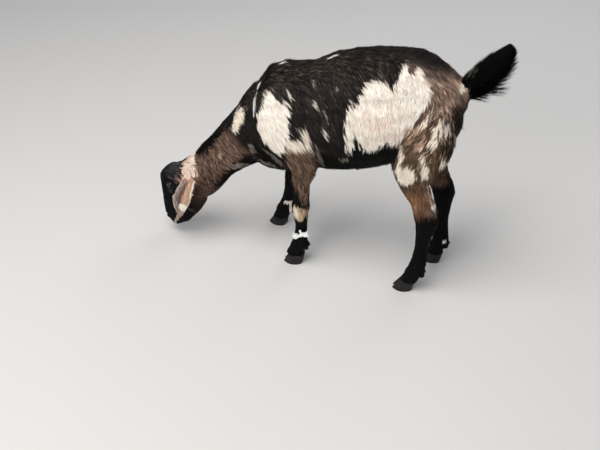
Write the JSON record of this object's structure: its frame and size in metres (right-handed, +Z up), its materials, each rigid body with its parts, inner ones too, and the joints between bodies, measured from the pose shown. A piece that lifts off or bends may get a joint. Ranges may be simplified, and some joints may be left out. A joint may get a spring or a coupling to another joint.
{
  "type": "goat",
  "caption": "Young lop-eared goat standing with its head down to graze and its tail raised, black and brown coat with cream patches, white cloth strip round one leg.",
  "frame": {"origin": "centre of the bounding box's bottom face, on the floor midway between the feet", "axes": "+Z up, -Y the way the goat faces, +X its left side"},
  "size_m": [0.2074, 0.869, 0.6422],
  "materials": {
    "coat": "short hair coat, black, brown and cream in patches",
    "horn": "dark claw horn, satin",
    "eye": "brown eye with a slit pupil, wet gloss",
    "cloth": "white cotton strip, woven"
  },
  "bodies": {
    "root": {"eye_left": "eye", "eye_right": "eye", "claw_fore_left_inner": "horn", "dewclaw_fore_left_inner": "horn", "claw_fore_left_outer": "horn", "dewclaw_fore_left_outer": "horn", "claw_fore_right_inner": "horn", "dewclaw_fore_right_inner": "horn", "claw_fore_right_outer": "horn", "dewclaw_fore_right_outer": "horn", "claw_hind_left_inner": "horn", "dewclaw_hind_left_inner": "horn", "claw_hind_left_outer": "horn", "dewclaw_hind_left_outer": "horn", "claw_hind_right_inner": "horn", "dewclaw_hind_right_inner": "horn", "claw_hind_right_outer": "horn", "dewclaw_hind_right_outer": "horn", "leg_band": "cloth", "fore_left_lower": "coat", "fore_left_upper": "coat", "fore_right_lower": "coat", "fore_right_upper": "coat", "hind_left_lower": "coat", "hind_left_upper": "coat", "hind_right_lower": "coat", "hind_right_upper": "coat", "ear_left": "coat", "ear_right": "coat", "head": "coat", "neck": "coat", "trunk": "coat", "tail": "coat"}
  },
  "joints": []
}
